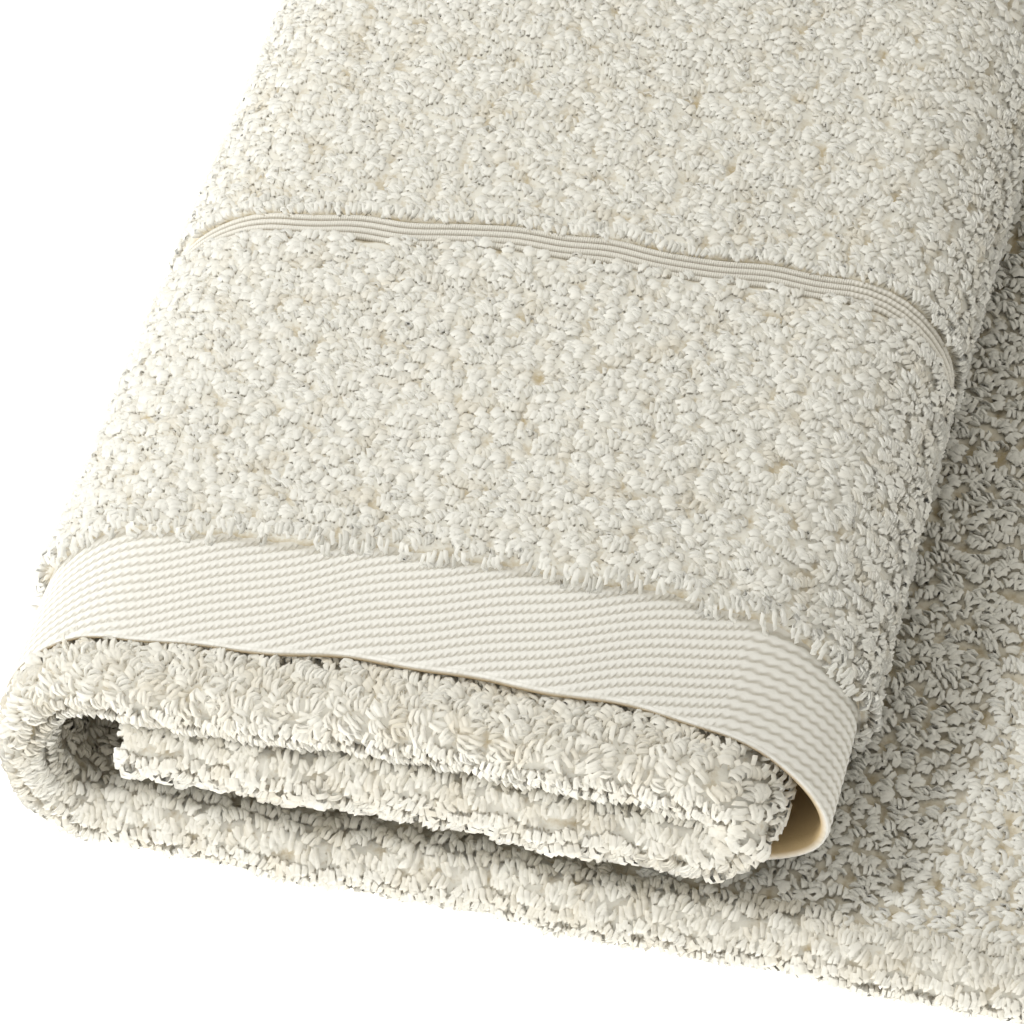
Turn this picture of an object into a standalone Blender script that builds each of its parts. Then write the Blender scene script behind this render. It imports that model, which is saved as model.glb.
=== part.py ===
"""A terry hand towel, folded for a shelf. Blender 4.5, metres, +Z up.

The towel is one length of cloth, so it is one solid. It is folded twice:

* crosswise, into three plies: the outer ply, which ends in the hem that shows, runs back to the
  back fold, the middle ply runs forward to the front fold, and the inner ply runs back again;
* lengthwise, the three plies together, into three layers: a tucked layer, a turn up at the right,
  the top layer, a wide turn down at the left, and the bottom layer, which runs out at the right.

Each fold is a short chain of runs and turns. The crosswise chain gives a point of the cloth its
depth (Y) and its distance out from the middle ply. The lengthwise chain is the middle ply's own
path in the XZ plane, and that distance is laid off square to it. The lay functions then give the
stack its crown, its falling shoulders and its forward-slipped lower layers.
"""

from collections import namedtuple
from math import pi

import bmesh
import bpy
import numpy as np

# The cloth, laid flat.
TOWEL_WIDTH = 0.406
TOWEL_LENGTH = 0.762
PILE_THICKNESS = 0.0043
HEM_WIDTH = 0.023
HEM_THICKNESS = 0.0017
BORDER_FROM_END = 0.092
BORDER_WIDTH = 0.0058
BORDER_THICKNESS = 0.0026
PILE_SHOULDER = 0.0011  # the pile rises beside a woven band over this distance

# The folded stack.
PLY_PITCH = 0.0050  # from the middle of one ply to the middle of the next
PLIES = 3
LAYERS = 3
HEM_SET_BACK = 0.0046  # the outer hem lies this far behind the front fold's centre
HEM_SETTLE = 0.0010  # the outer hem has no pile under it, so it lies this much lower
INNER_HEM_SHORT = 0.0080  # the inner hem stops this far before the back fold's centre
TUCKED_END_X = 0.0027
LEFT_TURN_X = 0.0
RIGHT_TURN_X = 0.0893
LAYER_HEIGHT = PLIES * PLY_PITCH
STACK_HEIGHT = LAYERS * LAYER_HEIGHT
BOTTOM_LEVEL = LAYER_HEIGHT / 2  # the middle ply of the bottom layer
TUCKED_LEVEL = BOTTOM_LEVEL + LAYER_HEIGHT
TOP_LEVEL = TUCKED_LEVEL + LAYER_HEIGHT

# The turns: the right one is loose in the outer ply, and the left one presses the plies flat.
SLACK_AT_HEM = 0.0048
SLACK_AT_BACK = 0.0030
SLACK_DROP = 0.35  # how far the loose ply sags, as a share of how far it stands out
LEFT_SQUEEZE = 0.25
SQUEEZE_EASE = 0.0200

# The lay of the stack. The lowest ply stays flat on the surface.
FLAT_BELOW = PLY_PITCH
EASE_BACK = 0.095  # the front's shape has eased into the back's this far behind the front fold
CROWN_X = 0.061
CROWN_LIFT = 0.02
LEFT_REACH = 0.065
LEFT_FALL = 0.12
LEFT_MOST = 1.3
RIGHT_REACH = 0.040
RIGHT_FALL_FRONT = 0.19
RIGHT_FALL_BACK = 0.03
RIGHT_MOST = 1.3
SLIP = 0.0035  # the lowest ply lies this far forward of the topmost, at the left turn
SLIP_PER_METRE = 0.04
SLIP_ENDS_Z = 0.040

# Soft mounds and troughs in the top of the stack.
Mound = namedtuple("Mound", "x y rise spread")
MOUNDS = (
    Mound(0.022, 0.050, -0.0007, 0.020),
    Mound(0.058, 0.062, 0.0006, 0.022),
    Mound(0.083, 0.115, -0.0007, 0.018),
    Mound(0.030, 0.150, 0.0007, 0.026),
    Mound(0.068, 0.195, -0.0008, 0.024),
    Mound(0.095, 0.235, 0.0006, 0.020),
    Mound(0.012, 0.225, -0.0006, 0.020),
)

# Slow waves along the front and back folds, and up and down in the layer that lies open.
Wave = namedtuple("Wave", "height length phase")
EDGE_WAVES = (Wave(0.0005, 0.047, 0.4), Wave(0.0003, 0.021, 1.9))
LEVEL_PER_WAVE = 0.017  # the waves shift by a radian for this much height, so plies don't match
OPEN_LAYER_WAVE = Wave(0.0006, 0.058, 0.8)
OPEN_FROM_X = 0.112
OPEN_WAVE_SLANT = 0.33  # how far the crests of this wave lean from square to the front

# How finely the solid is cut. All plies are cut at the same depths, so that they stay apart.
PLY_TURN_STEPS = 7
FRONT_DEPTH_STEP = 0.015
BACK_DEPTH_STEP = 0.032

Section = namedtuple("Section", "name length turn steps")
PLY_TURN = pi * PLY_PITCH / 2
RIGHT_TURN = pi * (TOP_LEVEL - TUCKED_LEVEL) / 2
LEFT_TURN = pi * (TOP_LEVEL - BOTTOM_LEVEL) / 2
PLY_LENGTH = (TOWEL_LENGTH - 2 * PLY_TURN + HEM_SET_BACK + INNER_HEM_SHORT) / PLIES
TOP_RUN = RIGHT_TURN_X - LEFT_TURN_X
TUCKED_RUN = RIGHT_TURN_X - TUCKED_END_X
BOTTOM_RUN = TOWEL_WIDTH - TUCKED_RUN - RIGHT_TURN - TOP_RUN - LEFT_TURN

CROSSWISE = (
    Section("outer ply", PLY_LENGTH - HEM_SET_BACK, 0, 1),
    Section("back fold", PLY_TURN, -pi, PLY_TURN_STEPS),
    Section("middle ply", PLY_LENGTH, 0, 1),
    Section("front fold", PLY_TURN, pi, PLY_TURN_STEPS),
    Section("inner ply", PLY_LENGTH - INNER_HEM_SHORT, 0, 1),
)
LENGTHWISE = (
    Section("tucked layer", TUCKED_RUN, 0, 6),
    Section("right turn", RIGHT_TURN, pi, 8),
    Section("top layer", TOP_RUN, 0, 8),
    Section("left turn", LEFT_TURN, pi, 9),
    Section("bottom layer", BOTTOM_RUN, 0, 11),
)

NODE = "terry_towel"
COTTON = (0.86, 0.84, 0.76, 1.0)
COTTON_ROUGHNESS = 0.95


def travel(section, heading, gone):
    """The step from a section's start after a distance, on a straight line or an arc."""
    if section.turn == 0:
        return gone[:, None] * np.array([np.cos(heading), np.sin(heading)])
    radius = section.length / section.turn
    turned = heading + gone / radius
    across = radius * (np.sin(turned) - np.sin(heading))
    up = radius * (np.cos(heading) - np.cos(turned))
    return np.stack([across, up], axis=1)


def trace(sections, start, along):
    """Points and headings at distances along a chain of sections that starts level."""
    corner, heading, begun = np.array(start), 0.0, 0.0
    points, headings = np.zeros((len(along), 2)), np.zeros(len(along))
    for section in sections:
        ahead = along >= begun
        gone = along[ahead] - begun
        points[ahead] = corner + travel(section, heading, gone)
        headings[ahead] = heading + section.turn * gone / section.length
        corner = corner + travel(section, heading, np.array([section.length]))[0]
        heading += section.turn
        begun += section.length
    return points, headings


def stations(sections):
    """Distances along a chain at which its steps begin and end."""
    found, begun = [0.0], 0.0
    for section in sections:
        found.extend(begun + section.length * (np.arange(section.steps) + 1) / section.steps)
        begun += section.length
    return np.array(found)


def begins(sections, name):
    """The distance at which the named section begins."""
    names = [section.name for section in sections]
    return sum(section.length for section in sections[: names.index(name)])


def depth_stations():
    """Distances down the towel at which its plies are cut, and those of its woven bands."""
    front = np.arange(FRONT_DEPTH_STEP, EASE_BACK, FRONT_DEPTH_STEP)
    depths = np.concatenate([front, np.arange(EASE_BACK, PLY_LENGTH, BACK_DEPTH_STEP)])
    outer = depths - HEM_SET_BACK
    middle = begins(CROSSWISE, "middle ply") + PLY_LENGTH - depths
    inner = begins(CROSSWISE, "inner ply") + depths[depths < PLY_LENGTH - INNER_HEM_SHORT]
    plain = np.concatenate([stations(CROSSWISE), outer, middle, inner])
    edges = band_edges()
    kept = [at for at in plain if np.abs(at - edges).min() > PILE_SHOULDER]
    return np.sort(np.concatenate([kept, edges]))


def smooth(share):
    """0 to 1 with level ends."""
    share = np.clip(share, 0, 1)
    return share * share * (3 - 2 * share)


def within(along, low, high, ease):
    """1 between two distances and 0 outside them, easing over a short way across each."""
    return smooth((along - low) / ease + 0.5) * smooth((high - along) / ease + 0.5)


def saturated(share, most):
    """Grows as its argument does and levels off at most."""
    share = np.clip(share, 0, None)
    return share / (1 + (share / most) ** 4) ** 0.25


def wave(waves, at, shift):
    """The sum of a few sine waves."""
    return sum(w.height * np.sin(2 * pi * at / w.length + w.phase + shift) for w in waves)


def left_press(across):
    """How much the left turn presses the plies together, 0 to 1, at a distance across the towel."""
    turn = begins(LENGTHWISE, "left turn")
    return within(across, turn, turn + LEFT_TURN, SQUEEZE_EASE)


def lay(x, y, z):
    """Crown, shoulders, slipped layers and waves of the whole stack."""
    back = smooth(y / EASE_BACK)
    left = saturated((CROWN_X - x) / LEFT_REACH, LEFT_MOST)
    right = saturated((x - CROWN_X) / RIGHT_REACH, RIGHT_MOST)
    right_fall = RIGHT_FALL_FRONT + (RIGHT_FALL_BACK - RIGHT_FALL_FRONT) * back
    crown = CROWN_LIFT * back - LEFT_FALL * left**2 - right_fall * right**2
    height = np.clip(z - FLAT_BELOW, 0, None) / (STACK_HEIGHT - FLAT_BELOW)
    rise = crown * STACK_HEIGHT * height**2
    for mound in MOUNDS:
        away = ((x - mound.x) ** 2 + (y - mound.y) ** 2) / mound.spread**2
        rise = rise + mound.rise * height * np.exp(-away)
    open_layer = smooth((x - OPEN_FROM_X) / OPEN_LAYER_WAVE.length)
    swell = wave((OPEN_LAYER_WAVE,), x + OPEN_WAVE_SLANT * y, 0)
    rise = rise + open_layer * height * LAYERS * swell
    slip = (SLIP + SLIP_PER_METRE * x) * (1 - np.clip(z / SLIP_ENDS_Z, 0, 1))
    ripple = wave(EDGE_WAVES, x, z / LEVEL_PER_WAVE)
    return x, y - slip + ripple, z + rise


def folded(across, down, outward=0.0):
    """Where the cloth lies, for distances across and down the flat towel.

    Outward is a distance from the middle of the cloth towards its upper face.
    """
    path, heading = trace(LENGTHWISE, (TUCKED_END_X, TUCKED_LEVEL), across)
    side, facing = trace(CROSSWISE, (HEM_SET_BACK, PLY_PITCH), down)
    out = np.stack([np.sin(heading), -np.cos(heading)], axis=1)[:, None, :]
    settled = HEM_SETTLE * smooth((HEM_WIDTH + PILE_SHOULDER - down) / PILE_SHOULDER)
    y = (side[:, 0] - np.sin(facing) * outward)[None, :]
    ply = (side[:, 1] + np.cos(facing) * outward - settled)[None, :]
    is_outer = np.clip(side[:, 1] / PLY_PITCH, 0, 1)[None, :]

    pressed = 1 - LEFT_SQUEEZE * left_press(across)[:, None]
    slack = SLACK_AT_HEM + (SLACK_AT_BACK - SLACK_AT_HEM) * smooth(y / EASE_BACK)
    stands_out = slack * is_outer * np.clip(out[..., 0], 0, 1)
    x = path[:, None, 0] + out[..., 0] * ply * pressed + stands_out
    z = path[:, None, 1] + out[..., 1] * ply * pressed - SLACK_DROP * stands_out
    z = z + (PILE_THICKNESS - PLY_PITCH) / 2  # the lowest ply's pile touches the surface
    x, y, z = np.broadcast_arrays(x, y, z)
    return np.stack(lay(x, y, z), axis=2)


def half_thickness(down):
    """From the middle of the cloth to either face, thinner in the hems and borders."""
    from_end = np.minimum(down, TOWEL_LENGTH - down)
    hem = smooth((HEM_WIDTH + PILE_SHOULDER - from_end) / PILE_SHOULDER)
    border = within(from_end, BORDER_FROM_END, BORDER_FROM_END + BORDER_WIDTH, PILE_SHOULDER)
    thickness = PILE_THICKNESS - hem * (PILE_THICKNESS - HEM_THICKNESS)
    thickness = thickness - border * (PILE_THICKNESS - BORDER_THICKNESS)
    return thickness / 2


def band_edges():
    """Distances down the towel where a hem or border begins or ends, from both hems."""
    edges = [HEM_WIDTH, HEM_WIDTH + PILE_SHOULDER]
    for edge in (BORDER_FROM_END, BORDER_FROM_END + BORDER_WIDTH):
        edges += [edge - PILE_SHOULDER / 2, edge + PILE_SHOULDER / 2]
    edges = np.array(edges)
    return np.concatenate([edges, TOWEL_LENGTH - edges])


def cotton():
    """Undyed looped cotton."""
    material = bpy.data.materials.new("terry_cotton")
    material.use_nodes = True
    shader = material.node_tree.nodes["Principled BSDF"]
    shader.inputs["Base Color"].default_value = COTTON
    shader.inputs["Roughness"].default_value = COTTON_ROUGHNESS
    shader.inputs["Metallic"].default_value = 0.0
    return material


def centre_on_origin(mesh):
    """Moves the points so that the solid's box is centred over the origin."""
    points = np.empty(3 * len(mesh.vertices))
    mesh.vertices.foreach_get("co", points)
    points = points.reshape(-1, 3)
    middle = (points.min(axis=0) + points.max(axis=0)) / 2
    mesh.vertices.foreach_set("co", (points - [middle[0], middle[1], 0.0]).ravel())
    mesh.update()


def patches(corner):
    """Four-sided faces over a grid of vertex numbers."""
    sides = [corner[:-1, :-1], corner[1:, :-1], corner[1:, 1:], corner[:-1, 1:]]
    return np.stack(sides, axis=2).reshape(-1, 4)


def build_towel(collection):
    """The closed sheet: a section right round both faces, carried across the towel and capped.

    Both faces are worked out from the folds. A thickness laid on a middle surface afterwards
    would run through itself inside the tight folds.
    """
    across, down = stations(LENGTHWISE), depth_stations()
    half = half_thickness(down)
    faces_of_cloth = np.stack([folded(across, down, half), folded(across, down, -half)])
    upper, lower = np.arange(2 * len(across) * len(down)).reshape(2, len(across), len(down))
    section = np.concatenate([upper, lower[:, ::-1], upper[:, :1]], axis=1)
    caps = [patches(np.stack([upper[end], lower[end]])) for end in (0, -1)]
    sides = np.concatenate([patches(section), *caps])

    mesh = bpy.data.meshes.new(NODE)
    mesh.from_pydata(faces_of_cloth.reshape(-1, 3).tolist(), [], sides.tolist())
    mesh.materials.append(cotton())
    shell = bmesh.new()
    shell.from_mesh(mesh)
    bmesh.ops.recalc_face_normals(shell, faces=shell.faces)
    shell.to_mesh(mesh)
    shell.free()
    mesh.shade_smooth()
    towel = bpy.data.objects.new(NODE, mesh)
    collection.objects.link(towel)
    centre_on_origin(mesh)
    return towel


def main():
    """Clears the scene and builds the towel in its own collection."""
    for left_over in list(bpy.data.objects):
        bpy.data.objects.remove(left_over, do_unlink=True)
    collection = bpy.data.collections.new("hand_towel")
    bpy.context.scene.collection.children.link(collection)
    build_towel(collection)


main()
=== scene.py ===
"""The looks of the folded hand towel: woven ground, standing loops, twill hems and ribbed borders.

All lengths are in metres. A place on the cloth is given by its distances across and down the flat
towel and by a distance outward, from the middle of the cloth towards its upper face.
"""

import logging
from collections.abc import Callable, Mapping, Sequence
from dataclasses import dataclass, field
from enum import Enum
from math import pi, radians

import bpy
import numpy as np
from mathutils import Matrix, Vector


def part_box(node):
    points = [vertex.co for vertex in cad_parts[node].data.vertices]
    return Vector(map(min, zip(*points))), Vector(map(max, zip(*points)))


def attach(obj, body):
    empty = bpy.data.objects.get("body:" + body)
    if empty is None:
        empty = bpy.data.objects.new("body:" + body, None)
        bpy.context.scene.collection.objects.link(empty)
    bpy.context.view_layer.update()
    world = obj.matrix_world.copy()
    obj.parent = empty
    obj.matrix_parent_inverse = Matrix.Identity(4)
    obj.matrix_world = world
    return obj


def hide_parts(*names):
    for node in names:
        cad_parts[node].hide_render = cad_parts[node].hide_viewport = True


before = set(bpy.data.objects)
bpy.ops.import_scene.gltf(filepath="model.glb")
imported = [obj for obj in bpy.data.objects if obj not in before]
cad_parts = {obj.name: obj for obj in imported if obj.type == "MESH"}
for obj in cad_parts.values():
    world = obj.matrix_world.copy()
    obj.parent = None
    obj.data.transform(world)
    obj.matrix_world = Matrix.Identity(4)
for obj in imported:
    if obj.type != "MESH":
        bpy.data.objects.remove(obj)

LOG = logging.getLogger("hand_towel")
NODE = "terry_towel"
BODY = "root"
CLOTH_UV = "cloth"
MM = 0.001
TOP_SHOWN = 170 * MM  # How far down the top layer the camera sees.
OPEN_SHOWN = 100 * MM  # How far past the front fold it sees the open layer.
FIBRE = 0.35 * MM  # The grain of single fibres.

Array = np.ndarray
Colour = tuple[float, float, float]


def smooth(share: Array | float) -> Array:
    """Eases a share from 0 to 1: three times its square less twice its cube, clipped to 0 and 1."""
    share = np.clip(share, 0, 1)
    return share * share * (3 - 2 * share)


def saturated(share: Array, most: float) -> Array:
    """Grows as its argument does and levels off: share over the fourth root of 1 + (share/most)^4."""
    share = np.clip(share, 0, None)
    return share / (1 + (share / most) ** 4) ** 0.25


def unit(vectors: Array) -> Array:
    """Vectors along the last axis, each divided by its length."""
    return vectors / np.maximum(np.linalg.norm(vectors, axis=-1, keepdims=True), 1e-12)


class Face(Enum):
    """A face of the cloth, by the sign of its distance outward."""

    UPPER = 1
    LOWER = -1


@dataclass(frozen=True)
class Section:
    """A run of the folded path, or a turn through an angle."""

    name: str
    length: float
    turn: float = 0.0


@dataclass(frozen=True)
class Wave:
    """A slow sine wave along an edge."""

    height: float
    length: float
    phase: float

    def at(self, place: Array, shift: Array | float) -> Array:
        """Height times the sine of the place in waves, plus phase and shift."""
        return self.height * np.sin(2 * pi * place / self.length + self.phase + shift)


@dataclass(frozen=True)
class Mound:
    """A soft mound, or a trough where it sinks."""

    x: float
    y: float
    rise: float
    spread: float

    def at(self, x: Array, y: Array) -> Array:
        """The rise times a bell curve of the distance from the middle."""
        return self.rise * np.exp(-((x - self.x) ** 2 + (y - self.y) ** 2) / self.spread**2)


@dataclass
class FoldedTowel:
    """The one sheet's way through its folds, with the same sizes as the solid that it dresses."""

    width: float = 0.406
    length: float = 0.762
    pile_thickness: float = 0.0043
    hem_width: float = 0.023
    border_from_end: float = 0.092
    border_width: float = 0.0058
    shoulder: float = 0.0011
    ply_pitch: float = 0.0050
    plies: int = 3
    layers: int = 3
    hem_set_back: float = 0.0046
    hem_settle: float = 0.0010
    inner_hem_short: float = 0.0080
    tucked_end_x: float = 0.0027
    right_turn_x: float = 0.0893
    slack_at_hem: float = 0.0048
    slack_at_back: float = 0.0030
    slack_drop: float = 0.35
    left_squeeze: float = 0.25
    squeeze_ease: float = 0.0200
    ease_back: float = 0.095
    crown_x: float = 0.061
    crown_lift: float = 0.02
    left_reach: float = 0.065
    left_fall: float = 0.12
    left_most: float = 1.3
    right_reach: float = 0.040
    right_fall_front: float = 0.19
    right_fall_back: float = 0.03
    right_most: float = 1.3
    slip: float = 0.0035
    slip_per_metre: float = 0.04
    slip_ends_z: float = 0.040
    level_per_wave: float = 0.017
    probe: float = 0.2 * MM
    measured: tuple[int, int] = (700, 1500)
    open_from_x: float = 0.112
    open_wave_slant: float = 0.33
    open_wave: Wave = Wave(0.0006, 0.058, 0.8)
    edge_waves: tuple[Wave, ...] = (Wave(0.0005, 0.047, 0.4), Wave(0.0003, 0.021, 1.9))
    mounds: tuple[Mound, ...] = (
        Mound(0.022, 0.050, -0.0007, 0.020),
        Mound(0.058, 0.062, 0.0006, 0.022),
        Mound(0.083, 0.115, -0.0007, 0.018),
        Mound(0.030, 0.150, 0.0007, 0.026),
        Mound(0.068, 0.195, -0.0008, 0.024),
        Mound(0.095, 0.235, 0.0006, 0.020),
        Mound(0.012, 0.225, -0.0006, 0.020),
    )

    def __post_init__(self) -> None:
        """Works out the two chains of runs and turns, the places along them and the towel's shift."""
        layer = self.plies * self.ply_pitch
        self.stack_height = self.layers * layer
        self.bottom_level = layer / 2
        self.tucked_level = self.bottom_level + layer
        ply_turn = pi * self.ply_pitch / 2
        right_turn, left_turn = pi * layer / 2, pi * layer
        spare = self.hem_set_back + self.inner_hem_short
        self.ply_length = (self.length - 2 * ply_turn + spare) / self.plies
        tucked_run = self.right_turn_x - self.tucked_end_x
        bottom_run = self.width - tucked_run - right_turn - self.right_turn_x - left_turn
        self.crosswise = (
            Section("outer ply", self.ply_length - self.hem_set_back),
            Section("back fold", ply_turn, -pi),
            Section("middle ply", self.ply_length),
            Section("front fold", ply_turn, pi),
            Section("inner ply", self.ply_length - self.inner_hem_short),
        )
        self.lengthwise = (
            Section("tucked layer", tucked_run),
            Section("right turn", right_turn, pi),
            Section("top layer", self.right_turn_x),
            Section("left turn", left_turn, pi),
            Section("bottom layer", bottom_run),
        )
        self.right_turn_at, _ = self._span(self.lengthwise, "right turn")
        self.left_turn_at, self.turned_at = self._span(self.lengthwise, "left turn")
        self.opens_at = self.turned_at + self.right_turn_x
        _, self.back_folded_at = self._span(self.crosswise, "back fold")
        self.front_fold_at, self.front_folded_at = self._span(self.crosswise, "front fold")
        self.border_end = self.border_from_end + self.border_width
        self.shift = np.zeros(3)
        self.shift = self._shift_to(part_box(NODE))

    def _shift_to(self, box: Sequence[Sequence[float]]) -> Array:
        """The move that puts the middle of the folded sheet's box on the middle of the solid's.

        Args:
            box: The solid's lowest and highest corners.

        Returns:
            The move in X and Y, with no change of height.
        """
        sizes = zip((self.width, self.length), self.measured)
        across, down = np.meshgrid(*(np.linspace(0, size, count) for size, count in sizes))
        half = self.pile_thickness / 2
        found = np.concatenate([self.at(across.ravel(), down.ravel(), side * half) for side in (1, -1)])
        middle = (found.min(axis=0) + found.max(axis=0)) / 2
        wanted = (np.array(box[0]) + np.array(box[1])) / 2
        return np.array([wanted[0] - middle[0], wanted[1] - middle[1], 0.0])

    @staticmethod
    def _travel(section: Section, heading: float, gone: Array) -> Array:
        """The step from a section's start: a straight line, or an arc of length over turn as radius.

        Args:
            section: The run or turn.
            heading: The angle at which it starts.
            gone: Distances along it.

        Returns:
            One step for each distance.
        """
        if section.turn == 0:
            return gone[:, None] * np.array([np.cos(heading), np.sin(heading)])
        radius = section.length / section.turn
        turned = heading + gone / radius
        across = radius * (np.sin(turned) - np.sin(heading))
        up = radius * (np.cos(heading) - np.cos(turned))
        return np.stack([across, up], axis=1)

    def _trace(
        self, sections: Sequence[Section], start: tuple[float, float], along: Array
    ) -> tuple[Array, Array]:
        """Points and headings at distances along a chain of sections that starts level.

        Args:
            sections: The runs and turns, in order.
            start: Where the chain starts.
            along: Distances along it.

        Returns:
            One point and one heading for each distance.
        """
        corner, heading, begun = np.array(start), 0.0, 0.0
        points, headings = np.zeros((len(along), 2)), np.zeros(len(along))
        for section in sections:
            ahead = along >= begun
            gone = along[ahead] - begun
            points[ahead] = corner + self._travel(section, heading, gone)
            headings[ahead] = heading + section.turn * gone / section.length
            corner = corner + self._travel(section, heading, np.array([section.length]))[0]
            heading += section.turn
            begun += section.length
        return points, headings

    @staticmethod
    def _span(sections: Sequence[Section], name: str) -> tuple[float, float]:
        """The distances along a chain at which one of its sections begins and ends.

        Args:
            sections: The runs and turns, in order.
            name: The section's name.

        Returns:
            The two distances.
        """
        place = [section.name for section in sections].index(name)
        begins = sum(section.length for section in sections[:place])
        return begins, begins + sections[place].length

    def _lay(self, x: Array, y: Array, z: Array) -> Array:
        """Gives the stack its crown, falling shoulders, slipped lower layers and waves.

        The rise is the crown's share of the stack's height, less the left and right falls times
        the squared distance past the crown, times the squared height. The lower layers lie
        forward by a slip that fades upwards.

        Args:
            x: Distances to the right.
            y: Distances back.
            z: Heights over the floor.

        Returns:
            One position for each point.
        """
        back = smooth(y / self.ease_back)
        left = saturated((self.crown_x - x) / self.left_reach, self.left_most)
        right = saturated((x - self.crown_x) / self.right_reach, self.right_most)
        right_fall = self.right_fall_front + (self.right_fall_back - self.right_fall_front) * back
        crown = self.crown_lift * back - self.left_fall * left**2 - right_fall * right**2
        height = np.clip(z - self.ply_pitch, 0, None) / (self.stack_height - self.ply_pitch)
        rise = crown * self.stack_height * height**2
        rise = rise + height * sum(mound.at(x, y) for mound in self.mounds)
        open_layer = smooth((x - self.open_from_x) / self.open_wave.length)
        swell = self.open_wave.at(x + self.open_wave_slant * y, 0)
        rise = rise + open_layer * height * self.layers * swell
        slip = (self.slip + self.slip_per_metre * x) * (1 - np.clip(z / self.slip_ends_z, 0, 1))
        ripple = sum(wave.at(x, z / self.level_per_wave) for wave in self.edge_waves)
        return np.stack([x, y - slip + ripple, z + rise], axis=-1)

    def at(self, across: Array, down: Array, outward: Array | float = 0.0) -> Array:
        """Where points of the cloth lie.

        The crosswise chain gives a depth and a distance out from the middle ply. The lengthwise
        chain is the middle ply's own path, and that distance is laid off square to it.

        Args:
            across: Distances across the flat towel.
            down: Distances down it.
            outward: Distances from the middle of the cloth towards its upper face.

        Returns:
            One position for each point.
        """
        across, down, outward = np.broadcast_arrays(across, down, outward)
        path, heading = self._trace(self.lengthwise, (self.tucked_end_x, self.tucked_level), across)
        side, facing = self._trace(self.crosswise, (self.hem_set_back, self.ply_pitch), down)
        out_x, out_z = np.sin(heading), -np.cos(heading)
        settled = self.hem_settle * smooth((self.hem_width + self.shoulder - down) / self.shoulder)
        y = side[:, 0] - np.sin(facing) * outward
        ply = side[:, 1] + np.cos(facing) * outward - settled
        is_outer = np.clip(side[:, 1] / self.ply_pitch, 0, 1)
        press = smooth((across - self.left_turn_at) / self.squeeze_ease + 0.5)
        press = press * smooth((self.turned_at - across) / self.squeeze_ease + 0.5)
        pressed = ply * (1 - self.left_squeeze * press)
        slack = self.slack_at_hem + (self.slack_at_back - self.slack_at_hem) * smooth(y / self.ease_back)
        stands_out = slack * is_outer * np.clip(out_x, 0, 1)
        x = path[:, 0] + out_x * pressed + stands_out
        z = path[:, 1] + out_z * pressed - self.slack_drop * stands_out
        z = z + (self.pile_thickness - self.ply_pitch) / 2
        return self._lay(x, y, z) + self.shift

    def frames(self, across: Array, down: Array) -> tuple[Array, Array, Array]:
        """Unit vectors across, down and out of the cloth, from small steps along it.

        Args:
            across: Distances across the flat towel.
            down: Distances down it.

        Returns:
            The three directions at each point, the last square to the first two.
        """
        step = self.probe
        here = self.at(across, down)
        run = unit(self.at(across + step, down) - self.at(across - step, down))
        fall = unit(self.at(across, down + step) - self.at(across, down - step))
        out = unit(np.cross(run, fall))
        sign = np.sign(np.sum(out * (self.at(across, down, step) - here), axis=-1, keepdims=True))
        return run, fall, out * sign


class Signal:
    """A shader socket that takes part in Python arithmetic."""

    def __init__(self, finish: "Shader", socket: bpy.types.NodeSocket) -> None:
        """Keeps the material's builder and the socket."""
        self.finish = finish
        self.socket = socket

    def _maths(self, operation: str, first: object, second: object = 0.0) -> "Signal":
        """Adds one Math node on two values."""
        return self.finish.node("ShaderNodeMath", {"operation": operation}, {0: first, 1: second})

    def __add__(self, other: object) -> "Signal":
        """Sum."""
        return self._maths("ADD", self, other)

    __radd__ = __add__

    def __sub__(self, other: object) -> "Signal":
        """Difference."""
        return self._maths("SUBTRACT", self, other)

    def __rsub__(self, other: object) -> "Signal":
        """Difference from a number."""
        return self._maths("SUBTRACT", other, self)

    def __mul__(self, other: object) -> "Signal":
        """Product."""
        return self._maths("MULTIPLY", self, other)

    __rmul__ = __mul__

    def __truediv__(self, other: object) -> "Signal":
        """Quotient."""
        return self._maths("DIVIDE", self, other)

    def __rtruediv__(self, other: object) -> "Signal":
        """Quotient of a number."""
        return self._maths("DIVIDE", other, self)

    def __pow__(self, other: object) -> "Signal":
        """Power."""
        return self._maths("POWER", self, other)

    def __rpow__(self, other: object) -> "Signal":
        """Power of a number."""
        return self._maths("POWER", other, self)

    def sine(self) -> "Signal":
        """Sine of an angle in radians."""
        return self._maths("SINE", self)

    def wave(self) -> "Signal":
        """The sine, halved and raised to run from 0 to 1."""
        return self.sine() * 0.5 + 0.5

    def clipped(self) -> "Signal":
        """The value held between 0 and 1."""
        return self._maths("MAXIMUM", self._maths("MINIMUM", self, 1.0), 0.0)


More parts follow.
